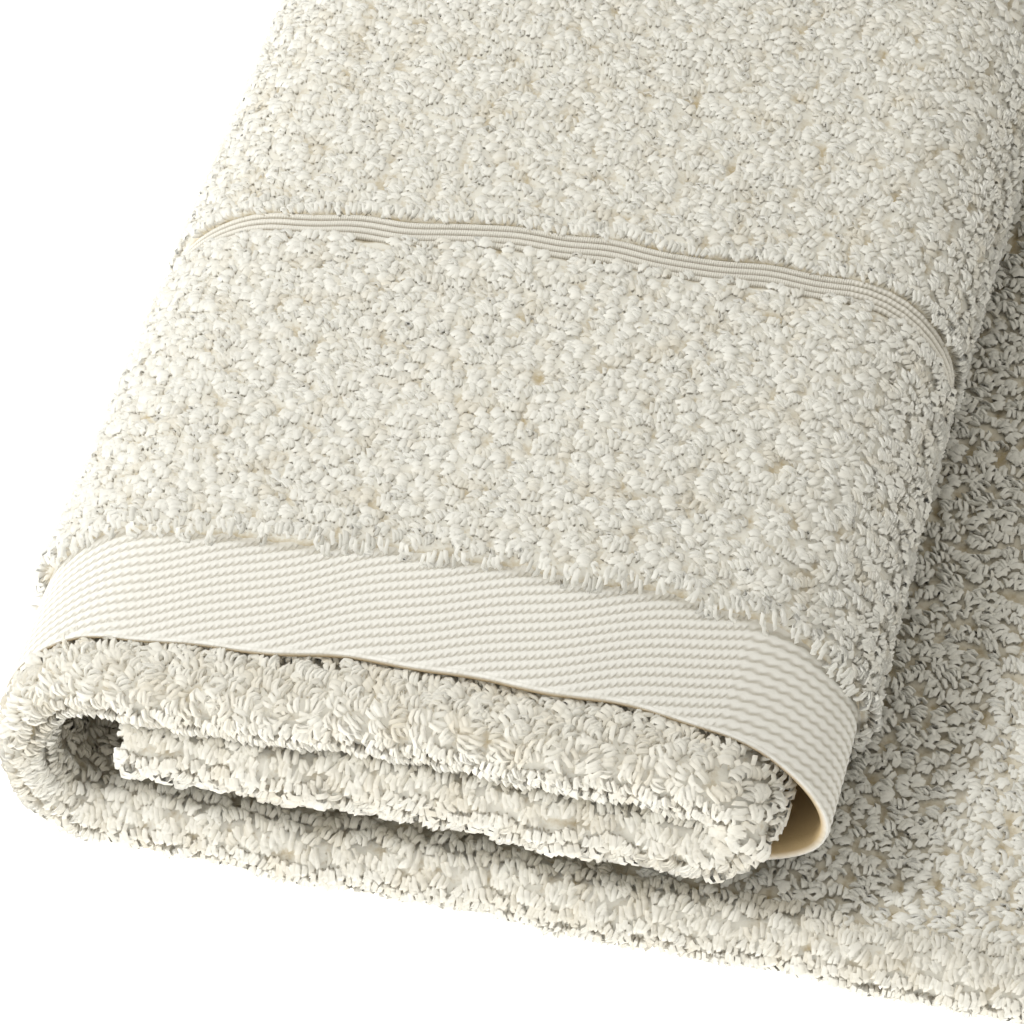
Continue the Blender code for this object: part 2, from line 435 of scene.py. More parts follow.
class Shader:
    """Builds one material, node by node."""

    specular: float = 0.2

    def __init__(self, name: str) -> None:
        """Starts a material with a Principled surface."""
        self.material = bpy.data.materials.new(name)
        self.material.use_nodes = True
        self.tree = self.material.node_tree
        self.surface = self.tree.nodes["Principled BSDF"]

    def _feed(self, socket: bpy.types.NodeSocket, value: object) -> None:
        """Links a signal to a socket, or sets a plain value on it."""
        if isinstance(value, Signal):
            self.tree.links.new(value.socket, socket)
        else:
            socket.default_value = value

    def node(
        self,
        kind: str,
        settings: Mapping[str, object] | None = None,
        inputs: Mapping[object, object] | None = None,
        output: int | str = 0,
    ) -> Signal:
        """Adds one node.

        Args:
            kind: The node's type.
            settings: Its own settings, which are set first.
            inputs: Values or signals, by socket name or number.
            output: The socket that is handed back.

        Returns:
            The chosen output.
        """
        made = self.tree.nodes.new(kind)
        for name, value in (settings or {}).items():
            setattr(made, name, value)
        for name, value in (inputs or {}).items():
            self._feed(made.inputs[name], value)
        return Signal(self, made.outputs[output])

    def attribute(self, name: str) -> Signal:
        """A number that the mesh carries at each point."""
        return self.node("ShaderNodeAttribute", {"attribute_name": name}, output="Fac")

    def place_on_cloth(self) -> tuple[Signal, Signal]:
        """Millimetres across the flat towel and from its nearer end, from the piece's own map.

        Returns:
            The two distances.
        """
        found = self.node("ShaderNodeUVMap", {"uv_map": CLOTH_UV})
        split = [self.node("ShaderNodeSeparateXYZ", {}, {0: found}, output=axis) for axis in (0, 1)]
        return split[0] / MM, split[1] / MM

    def speckle(self, size: float, detail: float = 2.0) -> Signal:
        """Soft noise from 0 to 1 over the piece, about one size across."""
        at = self.node("ShaderNodeTexCoord", output="Object")
        return self.node("ShaderNodeTexNoise", {}, {"Vector": at, "Scale": 1 / size, "Detail": detail})

    def blend(self, share: object, first: Colour, second: Colour | Signal) -> Signal:
        """A colour between two colours.

        Args:
            share: How much of the second there is.
            first: The first colour.
            second: The second colour, or the signal that gives it.

        Returns:
            The colour.
        """
        settings = {"data_type": "RGBA", "blend_type": "MIX"}
        inputs = {0: share, 6: (*first, 1.0), 7: second if isinstance(second, Signal) else (*second, 1.0)}
        return self.node("ShaderNodeMix", settings, inputs, output=2)

    def finish(
        self, colour: object, roughness: float, height: Signal | None = None, depth: float = 0.0
    ) -> bpy.types.Material:
        """Feeds the surface.

        Args:
            colour: The base colour, or the signal that gives it.
            roughness: The surface's roughness.
            height: Relief from 0 to 1, if it has any.
            depth: The relief's real depth.

        Returns:
            The finished material.
        """
        self._feed(self.surface.inputs["Base Color"], colour)
        self.surface.inputs["Roughness"].default_value = roughness
        self.surface.inputs["Specular IOR Level"].default_value = self.specular
        if height is not None:
            relief = self.node("ShaderNodeBump", {}, {"Strength": 1.0, "Distance": depth, "Height": height})
            self._feed(self.surface.inputs["Normal"], relief)
        return self.material


@dataclass(frozen=True)
class PileFinish:
    """Loops of soft, low-twist cotton, painted with shade that makes them darker and warmer at their roots.
    """

    name: str = "cotton_loops"
    # The root colour and the valley shade are painted shade, where the loops shade one another.
    root: Colour = (0.54, 0.47, 0.335)
    tip: Colour = (0.725, 0.718, 0.668)
    reach: float = 0.8
    valley_shade: float = 0.45
    valley_ends: float = 0.3
    valley_gain: float = 1.8
    tone: float = 0.04
    roughness: float = 0.9

    def material(self) -> bpy.types.Material:
        """Blends from the root's painted shade to the tip with the height up the loop, less so in the valleys
        of the pile, which get more painted shade.

        Returns:
            The material.
        """
        shader = Shader(self.name)
        # Painted shade: the root colour low on each loop, and more of it where the crest is low.
        crest = ((shader.attribute("crest") - self.valley_ends) * self.valley_gain).clipped()
        rise = (shader.attribute("rise") / self.reach).clipped() * (1 - self.valley_shade + self.valley_shade * crest)
        tone = 1 - self.tone + self.tone * shader.attribute("tone")
        tip = shader.blend(tone, (0.0, 0.0, 0.0), self.tip)
        colour = shader.blend(rise, self.root, tip)
        return shader.finish(colour, self.roughness)


@dataclass(frozen=True)
class GroundFinish:
    """The cloth that the loops stand in, and whose plain faces show inside the folds."""

    name: str = "cotton_ground"
    colour: Colour = (0.72, 0.70, 0.62)
    # The shade colour is painted shade for the crumbs' hollows.
    shade: Colour = (0.52, 0.46, 0.34)
    crumb: float = 1.3 * MM
    hollow_ends: float = 0.35
    gain: float = 3.0
    depth: float = 0.3 * MM
    roughness: float = 0.95

    def material(self) -> bpy.types.Material:
        """Crumbs of noise, with painted shade that darkens them towards their hollows.

        Returns:
            The material.
        """
        shader = Shader(self.name)
        crumb = shader.speckle(self.crumb)
        share = ((crumb - self.hollow_ends) * self.gain).clipped()
        return shader.finish(shader.blend(share, self.shade, self.colour), self.roughness, crumb, self.depth)


@dataclass(frozen=True)
class BedFinish:
    """The closely packed yarn between the loops, with painted shade that makes it darker and warmer in the
    pits.
    """

    name: str = "cotton_tufts"
    # The pit colour is painted shade, where the tufts shade the yarn between them.
    pit_shade: Colour = (0.45, 0.375, 0.24)
    dome: Colour = (0.69, 0.675, 0.61)
    rise_share: float = 1.7
    crumb: float = 0.7 * MM
    crumb_share: float = 1.4
    sink: float = 0.8
    depth: float = 0.06 * MM
    roughness: float = 0.95

    def material(self) -> bpy.types.Material:
        """Blends from the pits' painted shade to the dome with the height that the mesh carries, over crumbs
        of noise.

        Returns:
            The material.
        """
        shader = Shader(self.name)
        crumb = shader.speckle(self.crumb)
        share = (shader.attribute("rise") * self.rise_share + crumb * self.crumb_share - self.sink).clipped()
        return shader.finish(shader.blend(share, self.pit_shade, self.dome), self.roughness, crumb, self.depth)


@dataclass(frozen=True)
class TwillFinish:
    """Flat twill, whose ridges are made of short slanting strands, like rope."""

    name: str = "cotton_twill"
    colour: Colour = (0.75, 0.742, 0.70)
    # The groove colour is painted shade in the grooves, and the inside colour is painted shade for the hem's
    # inside in the folds.
    groove: Colour = (0.49, 0.465, 0.40)
    inside: Colour = (0.53, 0.40, 0.22)
    strand: float = 1.05
    strand_drift: float = 0.9
    strand_lag: float = 1.0
    sway: float = 0.3
    wander: float = 5 * MM
    groove_power: float = 2.5
    dash_in_groove: float = 0.3
    edge: float = 0.5
    edge_gain: float = 1.5
    edge_groove: float = 0.4
    # The recess paints a shadow strip beside the loops.
    recess: float = 21.6
    recess_shade: float = 0.6
    outside_gain: float = 5.0
    ridge_height: float = 0.8
    dash_height: float = 0.12
    fibre_height: float = 0.3
    depth: float = 0.17 * MM
    roughness: float = 0.85

    def material(self) -> bpy.types.Material:
        """Ridges as the squared sine of the distance square to them, whose grooves sway.

        The sway is a sine of the distance along the ridge, once a strand, and noise keeps it
        uneven. The grooves' darker colour is painted shade. Along the hem's own edge the grooves
        fade into plain cloth, and beside the loops the hem darkens, a painted shadow of the loops.
        The hem's inside, where the mesh has no rise, is plain and brown, painted shade for the
        hollows of the folds. The sizes along the cloth are in millimetres.

        Returns:
            The material.
        """
        shader = Shader(self.name)
        across, down = shader.place_on_cloth()
        wander = (shader.speckle(self.wander) - 0.5) * 2.0
        phase = (down + across * Cloth.ridge_slope) * (pi / (Cloth.ridge_pitch / MM))
        along = across * (2 * pi / self.strand) + phase * self.strand_drift + wander
        ridge = (phase + along.sine() * self.sway).sine() ** 2.0
        dash = (along + self.strand_lag).wave()
        inner = ((down - self.edge) * self.edge_gain).clipped() * (1 - self.edge_groove) + self.edge_groove
        groove = (1 - ridge) ** self.groove_power * (1 - self.dash_in_groove + dash * self.dash_in_groove)
        groove = groove * inner
        # Painted shadow of the loops beside them.
        recess = (down - self.recess).clipped() * self.recess_shade
        share = (1 - groove - recess).clipped()
        outside = (shader.attribute("rise") * self.outside_gain).clipped()
        weave = (1 - groove) * self.ridge_height + dash * self.dash_height
        height = weave * outside + shader.speckle(FIBRE) * self.fibre_height
        # Painted shade: the inside's brown and the grooves' darker colour.
        colour = shader.blend(outside, self.inside, shader.blend(share, self.groove, self.colour))
        return shader.finish(colour, self.roughness, height, self.depth)


@dataclass(frozen=True)
class RibFinish:
    """Ribbed border, with fine yarns square to its ribs."""

    name: str = "cotton_ribs"
    colour: Colour = (0.70, 0.68, 0.62)
    # The groove colour is painted shade in the grooves between the ribs.
    groove: Colour = (0.22, 0.19, 0.13)
    yarn: float = 0.36
    slant: float = 0.15
    rib_share: float = 1.3
    yarn_share: float = 0.12
    sink: float = 0.1
    yarn_height: float = 0.8
    fibre_height: float = 0.5
    depth: float = 0.10 * MM
    roughness: float = 0.85

    def material(self) -> bpy.types.Material:
        """Yarns as a sine along the ribs, in millimetres, with painted shade that darkens the grooves that
        the mesh has.

        Returns:
            The material.
        """
        shader = Shader(self.name)
        across, down = shader.place_on_cloth()
        yarn = ((across + down * self.slant) * (2 * pi / self.yarn)).wave()
        rise = shader.attribute("rise")
        share = (rise * self.rib_share + yarn * self.yarn_share - self.sink).clipped()
        height = yarn * self.yarn_height + shader.speckle(FIBRE) * self.fibre_height
        colour = shader.blend(share, self.groove, self.colour)
        return shader.finish(colour, self.roughness, height, self.depth)


def new_mesh(
    name: str,
    points: Array,
    groups: Sequence[Array],
    material: bpy.types.Material,
    normals: Array | None = None,
) -> bpy.types.Object:
    """Makes a smooth-shaded object from groups of faces, each with its own number of corners.

    Args:
        name: The piece's name.
        points: One position a row.
        groups: Arrays of faces, one face a row, as numbers of points.
        material: Its finish.
        normals: The direction that each point is shaded in, where it isn't the mesh's own.

    Returns:
        The new object, at the origin and in the scene.
    """
    corners = np.concatenate([group.ravel() for group in groups])
    sizes = np.concatenate([np.full(len(group), group.shape[1]) for group in groups])
    mesh = bpy.data.meshes.new(name)
    mesh.vertices.add(len(points))
    mesh.vertices.foreach_set("co", points.astype(np.float32).ravel())
    mesh.loops.add(len(corners))
    mesh.loops.foreach_set("vertex_index", corners.astype(np.int32))
    mesh.polygons.add(len(sizes))
    mesh.polygons.foreach_set("loop_start", (np.cumsum(sizes) - sizes).astype(np.int32))
    mesh.update(calc_edges=True)
    mesh.materials.append(material)
    mesh.shade_smooth()
    if normals is not None:
        mesh.normals_split_custom_set_from_vertices(normals.astype(np.float32))
    made = bpy.data.objects.new(name, mesh)
    bpy.context.scene.collection.objects.link(made)
    return made


def carry_numbers(piece: bpy.types.Object, **numbers: Array) -> None:
    """Puts one number a point on a mesh for each named attribute.

    Args:
        piece: The object.
        numbers: The values at its points, by the attribute's name.
    """
    for name, values in numbers.items():
        made = piece.data.attributes.new(name, "FLOAT", "POINT")
        made.data.foreach_set("value", values.astype(np.float32).ravel())


def carry_cloth_map(piece: bpy.types.Object, across: Array, from_end: Array) -> None:
    """Gives a mesh a map of the flat towel, in metres across it and from its nearer end.

    Args:
        piece: The object.
        across: Each point's distance across the towel.
        from_end: Each point's distance from the towel's nearer end.
    """
    mesh = piece.data
    corner = np.empty(len(mesh.loops), dtype=np.int32)
    mesh.loops.foreach_get("vertex_index", corner)
    flat = np.stack([across.ravel(), from_end.ravel()], axis=1)[corner]
    mesh.uv_layers.new(name=CLOTH_UV).data.foreach_set("uv", flat.astype(np.float32).ravel())


def patches(corner: Array) -> Array:
    """Four-sided faces over a grid of point numbers."""
    sides = [corner[:-1, :-1], corner[1:, :-1], corner[1:, 1:], corner[:-1, 1:]]
    return np.stack(sides, axis=2).reshape(-1, 4)


@dataclass
class Band:
    """A closed profile carried across the towel: a fine face, and another behind it.

    The face behind is flat, at the distance behind, unless it has a relief of its own. The mesh
    carries the fine face's height as its rise, from 0 at the height hollow to 1 at its top.
    """

    name: str
    towel: FoldedTowel
    face: Face
    across: Array
    down: Array
    down_behind: Array
    relief: Callable[[Array, Array], Array]
    behind: float
    hollow: float = 0.0
    relief_behind: Callable[[Array, Array], Array] | None = None

    def build(self, material: bpy.types.Material) -> bpy.types.Object:
        """Makes the mesh, with the cloth map and the height of its relief.

        Args:
            material: Its finish.

        Returns:
            The closed piece.
        """
        profile = np.concatenate([self.down, self.down_behind[::-1]])
        across, down = np.meshgrid(self.across, profile, indexing="ij")
        fine = len(self.down)
        outward = np.full_like(down, -self.behind)
        if self.relief_behind is not None:
            outward[:, fine:] = -self.relief_behind(across[:, fine:], down[:, fine:])
        outward[:, :fine] = self.relief(across[:, :fine], down[:, :fine])
        points = self.towel.at(across.ravel(), down.ravel(), self.face.value * outward.ravel())
        number = np.arange(len(points)).reshape(across.shape)
        around = np.concatenate([number, number[:, :1]], axis=1)
        groups = [patches(around), number[:1, ::-1], number[-1:]]
        piece = new_mesh(self.name, points, groups, material)
        rise = (outward - self.hollow) / (outward.max() - self.hollow)
        carry_numbers(piece, rise=np.clip(rise, 0, 1).ravel())
        carry_cloth_map(piece, across, np.minimum(down, self.towel.length - down))
        face_outward(piece)
        LOG.info("%s: %d faces", self.name, len(piece.data.polygons))
        return piece


def face_outward(piece: bpy.types.Object) -> None:
    """Turns every face of a closed piece outward: all are flipped if its volume is negative.

    Args:
        piece: The object.
    """
    mesh = piece.data
    mesh.calc_loop_triangles()
    points = np.empty(3 * len(mesh.vertices))
    mesh.vertices.foreach_get("co", points)
    corner = np.empty(3 * len(mesh.loop_triangles), dtype=np.int32)
    mesh.loop_triangles.foreach_get("vertices", corner)
    first, second, third = np.moveaxis(points.reshape(-1, 3)[corner.reshape(-1, 3)], 1, 0)
    if np.sum(first * np.cross(second, third)) < 0:
        mesh.flip_normals()


@dataclass
class Tufts:
    """Where the loops gather: one tuft in each cell of a grid that follows one face of the cloth.

    A face is longer than the flat towel where it goes round the outside of a fold, so the grid
    counts distances along the face itself, on one line across the towel and one line down it.
    The tufts rise from a bed, and gather in clusters, some cells wide, that swell under them.
    A dome's reach is how far it goes from its centre, in cells. Flat and worn are the same places
    on the two lines, as distances on the flat towel and along the face.
    """

    towel: FoldedTowel
    face: Face
    line_across: float
    line_down: float
    pitch: float = 2.2 * MM
    bed: float = 0.45 * MM
    rise: float = 0.55 * MM
    swell: float = 0.6 * MM
    cluster: float = 2.0
    reach: float = 0.80
    power: float = 2.0
    scatter: tuple[float, float] = (0.14, 0.86)
    cluster_scatter: tuple[float, float] = (0.1, 0.9)
    row_stray: float = 0.12
    samples: tuple[int, int] = (1600, 3000)
    margin: int = 3
    seed: int = 3
    flat: list[Array] = field(init=False)
    worn: list[Array] = field(init=False)
    centres: Array = field(init=False)
    clusters: Array = field(init=False)

    def __post_init__(self) -> None:
        """Measures the two lines and scatters the tufts, with some cells to spare all round."""
        towel, outward = self.towel, self.face.value * (self.bed + self.rise + self.swell)
        sizes = zip((towel.width, towel.length), self.samples)
        self.flat = [np.linspace(0, size, count) for size, count in sizes]
        row = towel.at(self.flat[0], self.line_across, outward)
        column = towel.at(self.line_down, self.flat[1], outward)
        steps = [np.linalg.norm(np.diff(line, axis=0), axis=1) for line in (row, column)]
        self.worn = [np.concatenate([[0.0], np.cumsum(step)]) for step in steps]
        cells = [int(worn[-1] / self.pitch) + 2 * self.margin + 1 for worn in self.worn]
        self.centres = np.random.default_rng(self.seed).uniform(*self.scatter, (*cells, 2))
        self.clusters = np.random.default_rng(self.seed + 1).uniform(*self.cluster_scatter, (*cells, 2))

    def to_cells(self, across: Array, down: Array) -> Array:
        """Distances along the face at flat places, in cells."""
        along = [np.interp(*place) for place in zip((across, down), self.flat, self.worn)]
        return np.stack(along, axis=-1) / self.pitch + self.margin

    def to_flat(self, cells: Array) -> tuple[Array, Array]:
        """Flat distances across and down at places given in cells."""
        along = (cells - self.margin) * self.pitch
        across, down = (np.interp(along[..., i], self.worn[i], self.flat[i]) for i in (0, 1))
        return across, down

    def evenly(self, axis: int, low: float, high: float, step: float) -> Array:
        """Flat distances between two others, in even steps along the face.

        Args:
            axis: 0 for across the towel, 1 for down it.
            low: The first distance.
            high: The last.
            step: About how far apart they are along the face.

        Returns:
            The distances.
        """
        ends = np.interp([low, high], self.flat[axis], self.worn[axis])
        along = np.linspace(*ends, max(2, round((ends[1] - ends[0]) / step) + 1))
        return np.interp(along, self.worn[axis], self.flat[axis])

    def within(self, across: tuple[float, float], down: tuple[float, float]) -> Array:
        """The tufts whose centres lie in a flat rectangle.

        Args:
            across: Its first and last distances across the towel.
            down: Those down it.

        Returns:
            One centre a row, in cells.
        """
        low, high = self.to_cells(np.array(across), np.array(down))
        grid = np.meshgrid(*map(np.arange, low.astype(int), high.astype(int) + 1), indexing="ij")
        cell = np.stack(grid, axis=-1).reshape(-1, 2)
        found = cell + self.centres[cell[:, 0], cell[:, 1]]
        return found[np.all((found >= low) & (found < high), axis=1)]

    def row(self, across: tuple[float, float], down: float, step: float) -> Array:
        """A row of tufts across the towel.

        Args:
            across: Where it starts and ends.
            down: How far down the towel it lies.
            step: How many cells apart its tufts are.

        Returns:
            One centre a row, in cells.
        """
        low, high = self.to_cells(np.array(across), np.full(2, down))
        random = np.random.default_rng(self.seed + 2)
        along = np.arange(low[0], high[0], step)
        found = np.stack([along, np.full(len(along), low[1])], axis=1)
        return found + random.normal(0, self.row_stray, found.shape)

    def _dome(self, place: Array, centres: Array) -> Array:
        """One less a power of the distance from the nearest of the scattered centres.

        Args:
            place: Places, in cells.
            centres: Where each cell's centre lies in it.

        Returns:
            A height from 0 to 1 at each place.
        """
        cell = place.astype(int)
        nearest = np.full(cell.shape[:-1], np.inf)
        for step in np.ndindex(3, 3):
            near = cell + np.array(step) - 1
            gap = place - near - centres[near[..., 0], near[..., 1]]
            nearest = np.minimum(nearest, np.linalg.norm(gap, axis=-1))
        return np.clip(1 - (nearest / self.reach) ** self.power, 0, 1)

    def height(self, across: Array, down: Array) -> Array:
        """How far the tufts stand out from the middle of the cloth, each on its cluster's swell."""
        place = self.to_cells(across, down)
        swell = self.swell * self._dome(place / self.cluster + 1, self.clusters)
        return self.bed + self.rise * self._dome(place, self.centres) + swell


@dataclass(frozen=True)
class Zone:
    """A stretch of pile, and how the yarns of its loops stand.

    A tuft has some strands, a gap apart, each an arch of a height and a spread whose yarn has a
    radius. Fan is how much they lean apart, lean is a tilt across and down that all share, stray
    is the scatter of their roots and tilts, turned is the range of directions that a tuft's loops
    may face, and stir is the scatter within a tuft. A row step makes it one row of tufts, so many
    cells apart. Shade is painted shade, which darkens its loops' colour as in a fold.
    """

    name: str
    tufts: Tufts
    across: tuple[float, float]
    down: tuple[float, float]
    row_step: float = 0.0
    strands: int = 4
    gap: float = 0.46 * MM
    height: float = 1.2 * MM
    spread: float = 2.0 * MM
    yarn: float = 0.42 * MM
    fan: float = 0.5
    lean: tuple[float, float] = (0.0, 0.0)
    stray: float = 0.16 * MM
    turned: tuple[float, float] = (0.0, pi)
    stir: float = 0.16
    steps: int = 4
    shade: float = 0.0


@dataclass
class Pile:
    """Closed strands of yarn that stand in the cloth, side by side in each tuft's loop."""

    towel: FoldedTowel
    sunk: float = 0.4 * MM
    sides: int = 3
    fuzz: float = 0.6
    fuzz_from: float = -0.8
    fuzz_over: float = 0.9
    most_lift: float = 0.7
    heart_depth: float = 1.1 * MM
    inset: float = 0.4 * MM
    tuft_sizes: tuple[float, float] = (0.85, 1.15)
    strand_sizes: tuple[float, float] = (0.85, 1.15)
    strand_heights: tuple[float, float] = (0.9, 1.1)
    twist: float = 0.4
    arch: float = 0.8
    foot: float = 0.45
    belly: float = 0.75
    lean_power: float = 1.5
    seed: int = 7
    tone_seed: int = 217
    _points: list[Array] = field(default_factory=list)
    _faces: list[Array] = field(default_factory=list)
    _normals: list[Array] = field(default_factory=list)
    _rise: list[Array] = field(default_factory=list)
    _tone: list[Array] = field(default_factory=list)
    _crest: list[Array] = field(default_factory=list)
    _count: int = 0

    def grow(self, zone: Zone) -> None:
        """Adds a zone's loops.

        Each tuft is a loop of several strands side by side, all turned much the same way. A strand
        leaves its root, widens as it rises, turns over and comes back. Its height goes with a
        power of the sine of the share of the way round, its width with the cosine times a foot
        plus a belly of that sine, and its lean, which fans out from the tuft's middle, with a
        power of the height.

        Args:
            zone: Where the loops stand and how.
        """
        random = np.random.default_rng(self.seed + len(self._points))
        tufts, towel, face = zone.tufts, self.towel, zone.tufts.face.value
        if zone.row_step:
            centre = tufts.row(zone.across, zone.down[0], zone.row_step)
        else:
            centre = tufts.within(zone.across, zone.down)
        shape = (len(centre), zone.strands)
        turned = random.uniform(*zone.turned, (len(centre), 1)) + random.normal(0, zone.stir, shape)
        beside = (np.arange(zone.strands) - (zone.strands - 1) / 2) * zone.gap
        offset = beside[:, None] * np.stack([-np.sin(turned), np.cos(turned)], axis=-1)
        offset = (offset + random.normal(0, zone.stray, (*shape, 2))).reshape(-1, 2)
        across, down = tufts.to_flat(np.repeat(centre, zone.strands, axis=0) + offset / tufts.pitch)
        across = np.clip(across, self.inset, towel.width - self.inset)
        down = np.clip(down, self.inset, towel.length - self.inset)
        number = len(across)
        run, fall, out = towel.frames(across, down)
        out = out * face
        stand = tufts.height(across, down)
        base = towel.at(across, down, face * (stand - self.sunk))
        # Painted shade: loops low on the tufts' domes get a lower crest, which their finish colours darker,
        # and a zone's shade darkens them further.
        crest = np.ones(number) if zone.row_step else (stand - tufts.bed) / (tufts.rise + tufts.swell)
        crest = crest * (1 - zone.shade)
        middle = tufts.to_flat(centre)
        heart = towel.at(*middle, face * (tufts.height(*middle) - self.sunk - self.heart_depth))
        heart = np.repeat(heart, zone.strands, axis=0)

        lean = offset * zone.fan + random.normal(0, zone.stray, (number, 2)) + np.array(zone.lean)
        size = np.repeat(random.uniform(*self.tuft_sizes, len(centre)), zone.strands)
        height = zone.height * size * random.uniform(*self.strand_heights, number)
        spread = zone.spread * size * random.uniform(*self.strand_sizes, number) / 2
        twist = random.uniform(-self.twist, self.twist, number)

        share = np.linspace(0, 1, zone.steps + 1)
        up = np.sin(pi * share) ** self.arch
        wide = np.cos(pi * share) * (self.foot + self.belly * np.sin(pi * share))
        angle = turned.reshape(-1, 1) + twist[:, None] * up
        run, fall, out = run[:, None], fall[:, None], out[:, None]
        tangent = run * np.cos(angle)[..., None] + fall * np.sin(angle)[..., None]
        aside = run * lean[:, 0, None, None] + fall * lean[:, 1, None, None]
        path = base[:, None] + tangent * (spread[:, None] * wide)[..., None]
        path = path + aside * (up**self.lean_power)[:, None] + out * (height[:, None] * up)[..., None]

        along = unit(np.gradient(path, axis=1))
        beside = unit(np.cross(tangent, out))
        beside = unit(beside - along * np.sum(beside * along, axis=-1, keepdims=True))
        other = np.cross(along, beside)
        ball = unit(path - heart[:, None])
        radius = zone.yarn * random.uniform(*self.strand_sizes, number)
        self._add_tubes(path, beside, other, radius, up, ball)
        self._crest.append(np.repeat(crest, 2 + self.sides * (zone.steps - 1)))
        LOG.info("%s: %d strands", zone.name, number)

    def _add_tubes(
        self, path: Array, beside: Array, other: Array, radius: Array, up: Array, ball: Array
    ) -> None:
        """Adds a closed tube round each path, whose two ends come to a point.

        Light spreads in soft yarn, so a tube is shaded in a direction part of the way from its
        own to that of the ball which its tuft makes. Where the two are opposite, its own is
        lifted towards the ball's, and a tube's ends take the direction of its top.

        Args:
            path: Points along each loop.
            beside: One direction square to the path at each point.
            other: The direction square to both.
            radius: Each tube's radius.
            up: The height of each point as a share of the loop's.
            ball: The way out from the heart of the tuft at each point.
        """
        number, stations = path.shape[:2]
        turn = (2 * pi * np.arange(self.sides) / self.sides)[:, None]
        rim = beside[:, 1:-1, None] * np.cos(turn) + other[:, 1:-1, None] * np.sin(turn)
        rings = path[:, 1:-1, None] + rim * radius[:, None, None, None]
        points = np.concatenate([path[:, :1], rings.reshape(number, -1, 3), path[:, -1:]], axis=1)
        round_out = ball[:, 1:-1, None]
        outward = np.sum(rim * round_out, axis=-1, keepdims=True)
        fuzz = self.fuzz * smooth((outward - self.fuzz_from) / self.fuzz_over)
        lift = np.clip(-outward, 0, self.most_lift)
        soft_rim = unit(rim + (round_out - rim) * fuzz + round_out * lift).reshape(number, -1, 3)
        top = ball[:, stations // 2, None]
        normals = np.concatenate([top, soft_rim, top], axis=1)

        each = points.shape[1]
        grid = 1 + np.arange((stations - 2) * self.sides).reshape(stations - 2, self.sides)
        after = np.roll(grid, -1, axis=1)
        first = np.stack([np.zeros(self.sides, int), after[0], grid[0]], axis=1)
        last = np.stack([np.full(self.sides, each - 1), grid[-1], after[-1]], axis=1)
        lower = np.stack([grid[:-1], after[:-1], after[1:]], axis=2).reshape(-1, 3)
        upper = np.stack([grid[:-1], after[1:], grid[1:]], axis=2).reshape(-1, 3)
        faces = np.concatenate([first, lower, upper, last])
        start = self._count + each * np.arange(number)
        self._points.append(points.reshape(-1, 3))
        self._normals.append(normals.reshape(-1, 3))
        self._faces.append((faces[None] + start[:, None, None]).reshape(-1, 3))
        rise = np.concatenate([up[:1], np.repeat(up[1:-1], self.sides), up[-1:]])
        self._rise.append(np.tile(rise, number))
        tone = np.random.default_rng(self.tone_seed + self._count).uniform(0, 1, number)
        self._tone.append(np.repeat(tone, each))
        self._count += number * each

    def build(self, name: str, material: bpy.types.Material) -> bpy.types.Object:
        """Makes one piece of all the loops added since the last, and starts again.

        Args:
            name: The piece's name.
            material: Its finish.

        Returns:
            The piece.
        """
        points, faces, normals, rise, tone, crest = map(np.concatenate, (
            self._points, self._faces, self._normals, self._rise, self._tone, self._crest
        ))
        piece = new_mesh(name, points, [faces], material, normals)
        carry_numbers(piece, rise=rise, tone=tone, crest=crest)
        face_outward(piece)
        piece.visible_shadow = False  # Light passes through soft loops to those below.
        LOG.info("%s: %d triangles", name, len(piece.data.polygons))
        self._points, self._faces, self._normals = [], [], []
        self._rise, self._tone, self._crest, self._count = [], [], [], 0
        return piece


def stations(*stretches: tuple[float, float, float]) -> Array:
    """Distances at even steps over neighbouring stretches, each given as start, end and step."""
    found = [np.linspace(low, high, max(2, round((high - low) / step) + 1)) for low, high, step in stretches]
    return np.unique(np.round(np.concatenate(found), 7))


